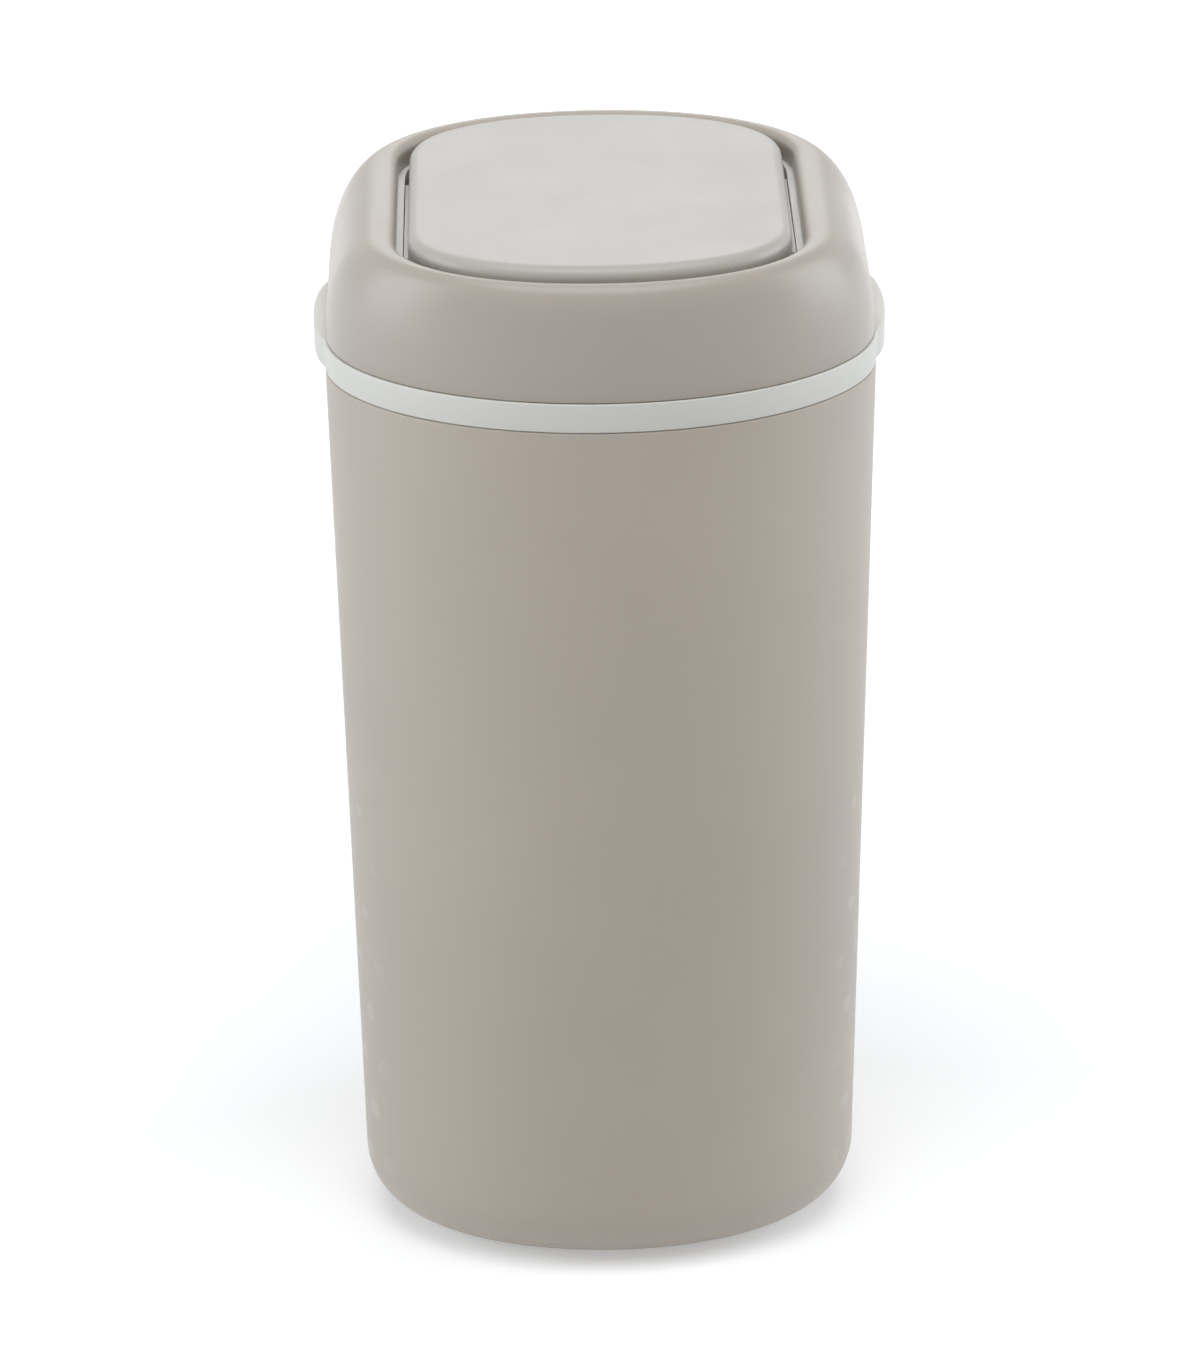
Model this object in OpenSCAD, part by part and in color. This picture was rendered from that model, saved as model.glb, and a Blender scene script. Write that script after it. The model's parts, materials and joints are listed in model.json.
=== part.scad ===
// Nappy bin: a tapered tub, a bag ring with side grips, and a domed lid with a swing flap.
// Millimetres. +Z is up, the front faces -Y, and the origin is on the floor under the centre.

/* [Tub] */
// Width of the tub at its top edge
body_w = 240; // [225:1:255]
// Depth of the tub from front to back at its top edge
body_d = 240; // [225:1:255]
// Length of the straight stretch in each side of the plan
side_flat = 67; // [56:1:76]
// Height of the tub's top edge above the floor
tub_h = 413; // [360:1:470]
// Width of the base as a share of the width at the top
base_share = 0.93; // [0.90:0.01:0.98]
// Radius of the rounded bottom edge
base_round = 32; // [18:1:36]
// Wall thickness of the tub
tub_wall = 2.8; // [2.2:0.1:3.2]
// How far the foot pads stand out under the base
foot_out = 1.2; // [0.8:0.1:2.0]

/* [Bag ring] */
// Height of the visible band
band_h = 13.1; // [12:0.1:16]
// Length of each side grip along the side
grip_len = 70; // [60:1:84]
// How far each side grip stands out
grip_out = 5.5; // [3:0.1:7]

/* [Lid] */
// Height of the opening's lip above the band, at mid depth
lid_h = 51.6; // [48:0.1:60]
// Rise of the lip towards the back, per unit of depth
lid_slope = 0.016; // [0.01:0.002:0.03]
// Squareness of the lid's rounded shoulder
lid_round = 2.35; // [2.2:0.05:2.8]
// Width of the opening
open_w = 175.6; // [170:0.1:178]
// Depth of the opening
open_d = 207; // [203:0.1:208]
// Length of the straight stretch in each side of the opening
open_flat = 100; // [90:1:106]
// Depth of the wall that turns down from the lip
lip_depth = 10.2; // [9:0.1:11]
// Wall thickness of the lid
lid_wall = 2.4; // [2.0:0.1:2.8]

/* [Flap] */
// Gap between the flap and the opening at each side
side_gap = 5.2; // [4.8:0.1:5.6]
// Gap between the flap and the opening at front and back
end_gap = 2.45; // [2.2:0.05:3]
// Radius of the flap's rounded top edge
flap_round = 5.2; // [4:0.1:6]
// Height of the flap's top above the lip, at mid depth
flap_rise = 3; // [2.5:0.1:3.5]
// Rise of the flap's top towards the back, in degrees
flap_tilt = 0.3; // [0:0.1:0.5]
// Height of the flap cover's side wall with its rounded edge
cover_h = 12.9; // [12:0.1:14]

/* [Pivot] */
// Height of the lip above the pivot line
pivot_drop = 19; // [18:0.1:21]
// Diameter of the pivot pins
pin_d = 6; // [5:0.5:7]
// Radial clearance of a pin in its bush
pin_fit = 0.05; // [0.02:0.01:0.09]
// Outer diameter of the bushes
bush_d = 10; // [9:0.5:10.5]

/* [Hidden] */

taupe = [0.73, 0.70, 0.66];
off_white = [0.88, 0.88, 0.85];
pale_grey = [0.76, 0.76, 0.76];
dark_rubber = [0.25, 0.25, 0.25];
steel = [0.62, 0.63, 0.65];
acetal = [0.93, 0.93, 0.90];

// Seam between pieces that lift apart, their play, and the slack between pieces that stay together
seam = 0.35;
lift_gap = 0.6;
slack = 0.1;
// Small edge break on the rims, and how far a pressed seal laps over what it sits on
edge = 0.6;
seal_lap = 0.3;

// Tub
base_in = body_w / 2 * (1 - base_share);
floor_t = 3.2;
neck_in = 3.4;
neck_t = 2.4;
neck_h = 6;
neck_root = 1;
neck_ramp = 4;
foot_r = 9;
foot_t = 2.6;
foot_x = 50;

// Bag ring
ring_z0 = tub_h + seam;
ring_z1 = tub_h + band_h;
ring_t = 2.6;
ring_edge = 1.6;
ring_edge_swell = 0.6;
ring_web_z1 = ring_z1 - 2.4;
ring_web_z0 = ring_web_z1 - 2.5;
ring_throat_in = 12;
ring_skirt_t = 2.4;
ring_skirt_z0 = tub_h - 14;

// Lid
lid_z0 = ring_z1 + seam;
lid_in = 0.8;
lip_r = 4.4;
lip_z = ring_z1 + lid_h;
skirt_in = ring_throat_in + lift_gap;
skirt_t = 2.4;
skirt_web_z0 = lid_z0 + 0.3;
skirt_web_z1 = skirt_web_z0 + 2.2;
skirt_z0 = tub_h + 3;
lid_seal_in = 6.5;
lid_seal_w = 3;

// Lid frame, in heights above the pivot line and square to the lid's slope
pivot_z = lip_z - pivot_drop;
lid_angle = atan(lid_slope);
ledge_z = pivot_drop - lip_depth;
frame_t = 2.2;
throat_z0 = -12;
shelf_reach = 8.5;
shelf_half = 46;
shelf_t = 2;
flange_side = 12.8;
flange_end = 7.6;
screw_r = 1.5;
thread_r = 1.3;
head_h = 1.8;
frame_boss_r = 3.5;
frame_bore = 9;
frame_boss = [[96, 36], [-96, 36], [96, -36], [-96, -36], [0, 108.7], [0, -108.7]];

// Flap, in heights above the pivot line and square to its own tilt
flap_w = open_w - 2 * side_gap;
flap_d = open_d - 2 * end_gap;
flap_z1 = pivot_drop + flap_rise;
cover_z0 = flap_z1 - cover_h;
cover_t = 2.2;
tray_t = 2.1;
tray_z0 = cover_z0 - tray_t - 0.1;
wing_out = 1.9;
wing_half = 48;
wing_t = 1.2;
throat_x = flap_w / 2 + wing_out + 0.4;
seal_t = 1.8;
rest_pad_t = 0.9;
rest_pad_r = 2.2;
rest_pad_x = 36;
rest_pad_in = 7;
rest_gap = 0.3;
cheek_x = 72;
cheek_t = 5;
cheek_r = 7;
cheek_root = 14;
rib_h = 2.6;
rib_w = 2;
rib_x = 38;
rib_y = 40;
rim_h = 3;
flap_boss_r = 3.6;
flap_bore = 8.5;
flap_boss = [[62, 48], [-62, 48], [62, -48], [-62, -48], [0, 90], [0, -88]];

// Pivot, seen from the centre line outwards
bracket_x = throat_x + frame_t + slack;
bracket_l = 9;
bush_x = throat_x + 2 * slack;
pin_x0 = 69;
pin_x1 = bracket_x + bracket_l - 1;
bracket_half = 8;
bracket_ear_y = 13;
bracket_ear_half = 17;
bracket_ear_t = 2.2;
bracket_screw_z1 = ledge_z - 2 * slack;
bush_flange = 1.5;
pin_tip = 0.8;

// Counterweight bar and its clamps
weight = [110, 14, 8];
weight_y = 77;
weight_z0 = tray_z0 + tray_t + 0.2;
clamp_x = 30;
clamp_l = 14;
clamp_t = 1.2;
clamp_foot = 3.4;
cradle_h = 5;
cradle_half = 9;
clamp_screw_y = weight.y / 2 + 4.6;
clamp_bite = 1.5;

// Rear shelf of the frame, just under the pads that meet the closed flap
shelf_z1 = tray_z0 - seal_t - rest_gap - rest_pad_t - flap_d / 2 * sin(lid_angle - flap_tilt);

// Plan outlines: two arched ends joined by straight sides, counter-clockwise
arch_steps = 36;
grip_steps = 8;

function lobe(a, k) = sign(a) * pow(abs(a), 2 / k);

function arch(w, d, m, k, n = arch_steps, s = 1) = concat(
    [for (i = [0:n]) let (a = 180 * i / n) [w * lobe(cos(a), k), m + (d - m) * lobe(sin(a), k)]],
    [for (j = [1:1:s - 1]) [-w, m - 2 * m * j / s]],
    [for (i = [0:n]) let (a = 180 * i / n) [-w * lobe(cos(a), k), -m - (d - m) * lobe(sin(a), k)]],
    [for (j = [1:1:s - 1]) [w, -m + 2 * m * j / s]]
);

function body_plan(inset) = arch(body_w / 2 - inset, body_d / 2 - inset, side_flat / 2, 2);
function opening(out) = arch(open_w / 2 + out, open_d / 2 + out, open_flat / 2, 2.1);
function throat(out) = arch(throat_x + out, open_d / 2 + 0.2 + out, open_flat / 2, 2.3);
function flap_plan(inset) = arch(flap_w / 2 - inset, flap_d / 2 - inset, open_flat / 2, 2.2);

// One level of a skinned shell: an outline at height z that rises by t per unit of depth
function level(outline, z, t = 0) = [for (p = outline) [p.x, p.y, z + t * p.y]];

// A band of outline for the bag ring, with the grips swelling out of its sides
function grip_swell(y) = abs(y) < grip_len / 2 ? grip_out * sqrt(cos(180 * y / grip_len)) : 0;
function ring_plan(inset, share) = [
    for (p = arch(body_w / 2 - inset, body_d / 2 - inset, side_flat / 2, 2, 48, grip_steps))
        [p.x + sign(p.x) * share * grip_swell(p.y), p.y]
];

// Lid dome: a level part of the way f (0 to 90 degrees) from its base to its lip
function dome_share(f) = 1 - pow(cos(f), 2 / lid_round);
function dome_rise(f) = pow(sin(f), 2 / lid_round);
function dome_level(base, top, f, drop) = [
    for (i = [0:len(base) - 1])
        let (p = base[i] + (top[i] - base[i]) * dome_share(f))
        [p.x, p.y, ring_z1 + (lid_h - drop + lid_slope * p.y) * dome_rise(f)]
];

// Height of the dome's outside where it has come the share t of the way to the lip
function dome_z(t, y) =
    ring_z1 + (lid_h + lid_slope * y) * pow(1 - pow(1 - t, lid_round), 1 / lid_round);

// Solid between levels of equal length. A looped skin joins its last level to its first.
module skin(levels, looped = false) {
    n = len(levels[0]);
    m = len(levels);
    last = looped ? m - 1 : m - 2;
    sides = [
        for (i = [0:last], j = [0:n - 1])
            let (a = i * n + j, b = i * n + (j + 1) % n)
            let (d = ((i + 1) % m) * n + j, c = ((i + 1) % m) * n + (j + 1) % n)
            each [[a, d, c], [a, c, b]]
    ];
    ends = looped ? [] : [[for (j = [0:n - 1]) j], [for (j = [n - 1:-1:0]) (m - 1) * n + j]];
    polyhedron([for (l = levels) each l], concat(sides, ends), convexity = 8);
}

// Wall between two outlines
module tier(outer, inner, z0, z1) {
    translate([0, 0, z0])
        linear_extrude(z1 - z0)
            difference() {
                polygon(outer);
                polygon(inner);
            }
}

module plate(outline, z0, z1) {
    translate([0, 0, z0])
        linear_extrude(z1 - z0)
            polygon(outline);
}

module block(x, y, z) {
    translate([x[0], y[0], z[0]])
        cube([x[1] - x[0], y[1] - y[0], z[1] - z[0]]);
}

// Round bar along X
module bar_x(r, x0, x1) {
    translate([x0, 0, 0])
        rotate([0, 90, 0])
            cylinder(r = r, h = x1 - x0, $fn = 48);
}

// Pan-head screw with its head's top face at z0, pointing up
module screw(r, length, z0) {
    translate([0, 0, z0])
        cylinder(r = 2 * r, h = head_h, $fn = 24);
    translate([0, 0, z0 + head_h])
        cylinder(r = r, h = length, $fn = 24);
}

module in_lid() {
    translate([0, 0, pivot_z])
        rotate([lid_angle, 0, 0])
            children();
}

module in_flap() {
    translate([0, 0, pivot_z])
        rotate([flap_tilt, 0, 0])
            children();
}

module at_feet() {
    for (x = [-foot_x, foot_x], y = [-foot_x, foot_x])
        translate([x, y, 0])
            children();
}

module tub() {
    inner_round = base_round - tub_wall;
    floor_z = foot_out + floor_t;
    outside = concat(
        [for (f = [0:15:90]) level(
            body_plan(base_in + base_round * (1 - sin(f))), foot_out + base_round * (1 - cos(f)))],
        [level(body_plan(0), tub_h - edge), level(body_plan(edge), tub_h)]
    );
    neck = [
        level(body_plan(neck_in), tub_h),
        level(body_plan(neck_in), tub_h + neck_h),
        level(body_plan(neck_in + neck_t), tub_h + neck_h),
        level(body_plan(neck_in + neck_t), tub_h - neck_root),
        level(body_plan(tub_wall), tub_h - neck_root - neck_ramp)
    ];
    inside = [for (f = [90:-15:0]) level(
        body_plan(base_in + tub_wall + inner_round * (1 - sin(f))),
        floor_z + inner_round * (1 - cos(f)))];
    color(taupe)
        difference() {
            skin(concat(outside, neck, inside));
            at_feet()
                cylinder(r = foot_r + slack, h = foot_t, $fn = 48);
        }
}

module foot_pads() {
    color(dark_rubber)
        at_feet()
            cylinder(r = foot_r, h = foot_t, $fn = 48);
}

module bag_ring() {
    skirt_out = ring_throat_in - ring_skirt_t;
    color(off_white)
        skin([
            level(ring_plan(edge, ring_edge_swell), ring_z0),
            level(ring_plan(0, 1), ring_z0 + ring_edge),
            level(ring_plan(0, 1), ring_z1 - ring_edge),
            level(ring_plan(edge, ring_edge_swell), ring_z1),
            level(ring_plan(ring_t, 0), ring_z1),
            level(ring_plan(ring_t, 0), ring_web_z1),
            level(ring_plan(ring_throat_in, 0), ring_web_z1),
            level(ring_plan(ring_throat_in, 0), ring_skirt_z0),
            level(ring_plan(skirt_out, 0), ring_skirt_z0),
            level(ring_plan(skirt_out, 0), ring_web_z0),
            level(ring_plan(ring_t, 0), ring_web_z0),
            level(ring_plan(ring_t, 0), ring_z0)
        ], looped = true);
}

module ring_seal() {
    color(dark_rubber)
        tier(body_plan(neck_in - seal_lap), body_plan(neck_in + neck_t + seal_lap),
            tub_h + neck_h + seal_lap, ring_web_z0);
}

module lid_shell() {
    base = body_plan(lid_in);
    base_inner = body_plan(lid_in + lid_wall);
    crown = opening(lip_r);
    crown_inner = opening(lid_wall + 2 * slack);
    wall_z0 = pivot_z + ledge_z / cos(lid_angle);
    dome = concat(
        [level(base, lid_z0)],
        [for (f = [10:8:90]) dome_level(base, crown, f, 0)]
    );
    lip = [for (f = [22.5:22.5:90]) level(
        opening(lip_r * (1 - sin(f))), lip_z - lip_r * (1 - cos(f)), lid_slope)];
    wall = [level(opening(0), wall_z0, lid_slope), level(opening(lid_wall), wall_z0, lid_slope)];
    inside = concat(
        [for (f = [90:-8:10]) dome_level(base_inner, crown_inner, f, lid_wall)],
        [level(base_inner, lid_z0)]
    );
    color(taupe)
        difference() {
            union() {
                skin(concat(dome, lip, wall, inside), looped = true);
                frame_bosses();
            }
            in_lid()
                at_frame_bosses()
                    cylinder(r = thread_r, h = ledge_z + frame_bore, $fn = 24);
        }
}

module at_frame_bosses() {
    for (p = frame_boss)
        translate([p.x, p.y, 0])
            children();
}

// Round bosses that hang from the dome down to the frame
module frame_bosses() {
    side_share = (body_w / 2 - lid_in - frame_boss[0].x - frame_boss_r)
        / (body_w / 2 - lid_in - open_w / 2 - lip_r);
    end_share = (body_d / 2 - lid_in - frame_boss[4].y - frame_boss_r)
        / (body_d / 2 - lid_in - open_d / 2 - lip_r);
    for (p = frame_boss) {
        share = p.x == 0 ? end_share : side_share;
        foot_z = pivot_z + ledge_z + slack + lid_slope * (p.y + frame_boss_r);
        translate([p.x, p.y, foot_z])
            cylinder(r = frame_boss_r, h = dome_z(share, p.y) - lid_wall / 2 - foot_z, $fn = 32);
    }
}

module lid_skirt() {
    color(pale_grey) {
        tier(body_plan(lid_in + lid_wall + slack), body_plan(skirt_in + skirt_t),
            skirt_web_z0, skirt_web_z1);
        tier(body_plan(skirt_in), body_plan(skirt_in + skirt_t), skirt_z0, skirt_web_z0 + 1);
    }
}

module lid_seal() {
    color(dark_rubber)
        tier(body_plan(lid_seal_in), body_plan(lid_seal_in + lid_seal_w),
            ring_web_z1 + seam, skirt_web_z0);
}

module lid_frame() {
    flange = arch(open_w / 2 + flange_side, open_d / 2 + flange_end, open_flat / 2, 2);
    color(pale_grey)
        in_lid()
            difference() {
                union() {
                    tier(flange, throat(0), ledge_z - frame_t, ledge_z);
                    tier(throat(frame_t), throat(0), throat_z0, ledge_z - frame_t / 2);
                    intersection() {
                        tier(throat(1), throat(-shelf_reach), shelf_z1 - shelf_t, shelf_z1);
                        block([-shelf_half, shelf_half], [open_flat / 2, open_d], [throat_z0, ledge_z]);
                    }
                }
                at_frame_bosses()
                    cylinder(r = screw_r + 2 * slack, h = ledge_z + 1, $fn = 24);
                at_bracket_screws()
                    cylinder(r = thread_r, h = bracket_screw_z1, $fn = 24);
                bar_x(bush_d / 2 + slack, -bracket_x - 1, bracket_x + 1);
            }
}

module frame_screws() {
    color(steel)
        in_lid()
            at_frame_bosses()
                screw(thread_r, 8, ledge_z - frame_t - head_h);
}

// Bearing block that hangs under the frame's flange, on the right side
module pivot_bracket() {
    top_z = ledge_z - frame_t;
    x = [bracket_x, bracket_x + bracket_l];
    difference() {
        union() {
            block(x, [-bracket_half, bracket_half], [-bracket_half, top_z]);
            block(x, [-bracket_ear_half, bracket_ear_half], [top_z - bracket_ear_t, top_z]);
        }
        bar_x(bush_d / 2, bracket_x - 1, bracket_x + bracket_l + 1);
        at_bracket_screws()
            cylinder(r = screw_r, h = ledge_z, $fn = 24);
    }
}

module at_bracket_screws() {
    for (s = [-1, 1], y = [-bracket_ear_y, bracket_ear_y])
        translate([s * (bracket_x + bracket_l / 2), y, 0])
            children();
}

module pivot_bracket_right() {
    color(pale_grey)
        in_lid()
            pivot_bracket();
}

module pivot_bracket_left() {
    color(pale_grey)
        in_lid()
            mirror([1, 0, 0])
                pivot_bracket();
}

module bracket_screws() {
    head_top = ledge_z - frame_t - bracket_ear_t;
    color(steel)
        in_lid()
            at_bracket_screws()
                screw(thread_r, bracket_screw_z1 - head_top, head_top - head_h);
}

// Flanged bush on the right side, with its bore along the pivot line
module pivot_bush() {
    end_x = bracket_x + bracket_l;
    difference() {
        union() {
            bar_x(bush_d / 2 - 0.02, bush_x, end_x);
            bar_x(bush_d / 2 + bush_flange, end_x, end_x + 1);
        }
        bar_x(pin_d / 2 + pin_fit, bush_x - 1, end_x + 2);
    }
}

module pivot_bush_right() {
    color(acetal)
        in_lid()
            pivot_bush();
}

module pivot_bush_left() {
    color(acetal)
        in_lid()
            mirror([1, 0, 0])
                pivot_bush();
}

// Soft buttons on the rear shelf that the closed flap rests on
module rest_pads() {
    color(dark_rubber)
        in_lid()
            for (x = [-rest_pad_x, rest_pad_x])
                translate([x, flap_d / 2 - rest_pad_in, shelf_z1])
                    cylinder(r = rest_pad_r, h = rest_pad_t, $fn = 24);
}

module at_flap_bosses() {
    for (p = flap_boss)
        translate([p.x, p.y, 0])
            children();
}

module flap_cover() {
    ceiling_z = flap_z1 - cover_t;
    inner_r = flap_round - cover_t;
    levels = concat(
        [for (f = [0:30:90]) level(
            flap_plan(cover_t + inner_r * (1 - sin(f))), ceiling_z - inner_r * (1 - cos(f)))],
        [level(flap_plan(cover_t), cover_z0), level(flap_plan(0), cover_z0)],
        [for (f = [90:-15:0]) level(
            flap_plan(flap_round * (1 - sin(f))), flap_z1 - flap_round * (1 - cos(f)))]
    );
    color(taupe)
        in_flap()
            difference() {
                union() {
                    skin(levels);
                    at_flap_bosses()
                        translate([0, 0, cover_z0 + slack])
                            cylinder(r = flap_boss_r, h = cover_h - cover_t / 2, $fn = 32);
                }
                at_flap_bosses()
                    cylinder(r = thread_r, h = cover_z0 + flap_bore, $fn = 24);
            }
}

// Right side of the tray: a wing that fills the gap beside the cover, and the pivot's cheek
module tray_side() {
    root_x = flap_w / 2 - cover_t;
    tip_x = flap_w / 2 + wing_out;
    plate([
        [root_x, -wing_half], [tip_x, wing_out - wing_half],
        [tip_x, wing_half - wing_out], [root_x, wing_half]
    ], tray_z0, tray_z0 + wing_t);
    tray_cheek();
}

// Cheek that hangs under the tray and carries a pivot pin, on the right side
module tray_cheek() {
    difference() {
        translate([cheek_x, 0, 0])
            rotate([90, 0, 90])
                linear_extrude(cheek_t)
                    union() {
                        polygon([
                            [-cheek_root, tray_z0 + 1], [cheek_root, tray_z0 + 1],
                            [cheek_r, 0], [-cheek_r, 0]
                        ]);
                        circle(r = cheek_r, $fn = 48);
                    }
        bar_x(pin_d / 2, cheek_x - 1, cheek_x + cheek_t + 1);
    }
}

module flap_tray() {
    tray_z1 = tray_z0 + tray_t;
    rib_z = [tray_z0 - rib_h, tray_z0 + 0.5];
    rim_z0 = tray_z1 - 0.5;
    color(pale_grey)
        in_flap()
            difference() {
                union() {
                    plate(flap_plan(4 * slack), tray_z0, tray_z1);
                    tier(flap_plan(cover_t + 4 * slack), flap_plan(2 * cover_t), rim_z0, tray_z1 + rim_h);
                    tray_side();
                    mirror([1, 0, 0])
                        tray_side();
                    for (x = [-rib_x, rib_x])
                        block([x - rib_w / 2, x + rib_w / 2], [-2 * rib_y, 2 * rib_y], rib_z);
                    for (y = [-rib_y, rib_y])
                        block([-1.7 * rib_x, 1.7 * rib_x], [y - rib_w / 2, y + rib_w / 2], rib_z);
                    weight_cradle(tray_z1);
                }
                at_flap_bosses()
                    cylinder(r = screw_r + 2 * slack, h = cover_z0 + 5, $fn = 24);
                at_clamp_screws(tray_z1 - clamp_bite)
                    cylinder(r = thread_r, h = 2 * clamp_bite, $fn = 24);
            }
}

// Low walls on the tray that keep the counterweight in place
module weight_cradle(z) {
    for (s = [-1, 1]) {
        x = s * (weight.x / 2 + 1.4);
        block([x - 1, x + 1], [weight_y - cradle_half, weight_y + cradle_half], [z - 0.5, z + cradle_h]);
    }
}

module flap_seal() {
    color(dark_rubber)
        in_flap()
            tier(flap_plan(2), flap_plan(5), tray_z0 - seal_t, tray_z0);
}

module flap_screws() {
    color(steel)
        in_flap()
            at_flap_bosses()
                screw(thread_r, 8, tray_z0 - head_h);
}

module pivot_pin() {
    bar_x(pin_d / 2, pin_x0, pin_x1);
    translate([pin_x1, 0, 0])
        rotate([0, 90, 0])
            cylinder(r1 = pin_d / 2, r2 = pin_d / 2 - pin_tip, h = pin_tip, $fn = 48);
}

module pivot_pin_right() {
    color(steel)
        in_flap()
            pivot_pin();
}

module pivot_pin_left() {
    color(steel)
        in_flap()
            mirror([1, 0, 0])
                pivot_pin();
}

module counterweight() {
    color(steel)
        in_flap()
            translate([-weight.x / 2, weight_y - weight.y / 2, weight_z0])
                cube(weight);
}

// Straps that bridge the counterweight, with a foot at each side
module weight_clamps() {
    rise = weight_z0 + weight.z + slack;
    foot_z = tray_z0 + tray_t;
    color(steel)
        in_flap()
            for (s = [-1, 1]) {
                x = [s * clamp_x - clamp_l / 2, s * clamp_x + clamp_l / 2];
                y = weight.y / 2 + 2 * slack;
                difference() {
                    union() {
                        block(x, [weight_y - y - clamp_t, weight_y + y + clamp_t], [rise, rise + clamp_t]);
                        for (side = [-1, 1]) {
                            edge = weight_y + side * (y + clamp_t / 2);
                            lug = weight_y + side * clamp_screw_y;
                            block(x, [edge - clamp_t / 2, edge + clamp_t / 2], [foot_z, rise + clamp_t]);
                            block(x, [lug - clamp_foot, lug + clamp_foot], [foot_z, foot_z + clamp_t]);
                        }
                    }
                    at_clamp_screws(foot_z - 1)
                        cylinder(r = screw_r, h = clamp_t + 2, $fn = 24);
                }
            }
}

module at_clamp_screws(z) {
    for (x = [-clamp_x, clamp_x], side = [-1, 1])
        translate([x, weight_y + side * clamp_screw_y, z])
            children();
}

// Short screws down through the clamp feet into the tray
module clamp_screws() {
    color(steel)
        in_flap()
            at_clamp_screws(tray_z0 + tray_t + clamp_t + head_h)
                rotate([180, 0, 0])
                    screw(thread_r, clamp_t + clamp_bite, 0);
}

tub();
foot_pads();
bag_ring();
ring_seal();
lid_shell();
lid_skirt();
lid_seal();
lid_frame();
frame_screws();
pivot_bracket_left();
pivot_bracket_right();
bracket_screws();
pivot_bush_left();
pivot_bush_right();
rest_pads();
flap_cover();
flap_tray();
flap_seal();
flap_screws();
pivot_pin_left();
pivot_pin_right();
counterweight();
weight_clamps();
clamp_screws();
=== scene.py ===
"""Looks of the nappy bin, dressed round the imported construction.

The construction is loaded first and stays as it is. Each sub-assembly of the bin is a class that holds
its sizes in millimetres and models its own pieces in metres, in the construction's frame: +Z up, the
front towards -Y.
"""

import json
import logging
import math
from collections.abc import Callable, Sequence
from dataclasses import dataclass, replace
from enum import Enum
from typing import ClassVar

import bmesh
import bpy
from mathutils import Matrix, Vector


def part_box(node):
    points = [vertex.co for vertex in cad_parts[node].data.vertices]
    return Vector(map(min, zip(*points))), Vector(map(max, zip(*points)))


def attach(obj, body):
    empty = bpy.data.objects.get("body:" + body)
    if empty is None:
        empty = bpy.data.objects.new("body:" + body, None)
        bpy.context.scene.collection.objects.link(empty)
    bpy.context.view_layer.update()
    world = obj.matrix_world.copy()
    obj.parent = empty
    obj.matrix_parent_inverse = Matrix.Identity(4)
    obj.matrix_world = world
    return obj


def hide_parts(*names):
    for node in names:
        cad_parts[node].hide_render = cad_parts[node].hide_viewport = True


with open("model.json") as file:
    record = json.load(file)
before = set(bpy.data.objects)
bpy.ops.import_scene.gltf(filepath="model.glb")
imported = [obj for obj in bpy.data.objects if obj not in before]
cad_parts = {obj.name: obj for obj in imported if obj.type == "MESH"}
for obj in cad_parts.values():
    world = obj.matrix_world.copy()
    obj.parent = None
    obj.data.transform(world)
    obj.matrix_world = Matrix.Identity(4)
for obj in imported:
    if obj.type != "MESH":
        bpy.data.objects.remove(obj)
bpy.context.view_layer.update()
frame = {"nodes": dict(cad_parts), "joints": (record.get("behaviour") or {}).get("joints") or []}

LOG = logging.getLogger("nappy_bin")
MM = 0.001
WELD = 0.002 * MM  # corners closer than this are one
SMOOTH_BELOW = math.radians(32)
EDGE_FROM = math.radians(38)
FLAT_WITHIN = math.radians(0.5)
WIDE_CHORD = 2.6  # longest step along an arc, in millimetres
FINE_CHORD = 0.8
FEWEST_STEPS = 4
EDGE_STEPS = 4
SORT_DIGITS = 4  # places are compared to a tenth of a millimetre
BOSS_GAP = 0.1  # millimetres between a screw boss and the piece that is screwed to it
SPOKE = "spoke"
LEVEL = 0.999  # a face is level when its normal rises by more than this

Piece = bpy.types.Object
Material = bpy.types.Material
Socket = bpy.types.NodeSocket
Ring = list[Vector]
Colour = tuple[int, int, int]
Shade = tuple[float, float, float, float]
Stretch = tuple[float, float, float]
Pattern = tuple[float, float] | tuple[float, float, Stretch]


class Body(Enum):
    """The moving bodies that pieces ride on."""

    TUB = "tub"
    RING = "ring"
    LID = "lid"
    FLAP = "flap"


class Slot(Enum):
    """The record's material slots."""

    TAUPE = "taupe_plastic"
    WHITE = "white_plastic"
    GREY = "grey_plastic"
    ACETAL = "acetal"
    RUBBER = "dark_rubber"
    STEEL = "steel"


# ---------------------------------------------------------------- finishes


def linear(colour: Colour) -> Shade:
    """Undoes the screen's sRGB curve.

    Args:
        colour: Red, green and blue as a screen shows them, 0 to 255.

    Returns:
        The linear colour that a shader reads, with full opacity.
    """
    shares = [c / 255 for c in colour]
    bent = [c / 12.92 if c <= 0.04045 else ((c + 0.055) / 1.055) ** 2.4 for c in shares]
    return (bent[0], bent[1], bent[2], 1.0)


def scaled(shade: Shade, by: float) -> Shade:
    """Makes a colour lighter or darker by a factor."""
    return tuple(min(1.0, channel * by) for channel in shade[:3]) + (1.0,)


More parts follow.
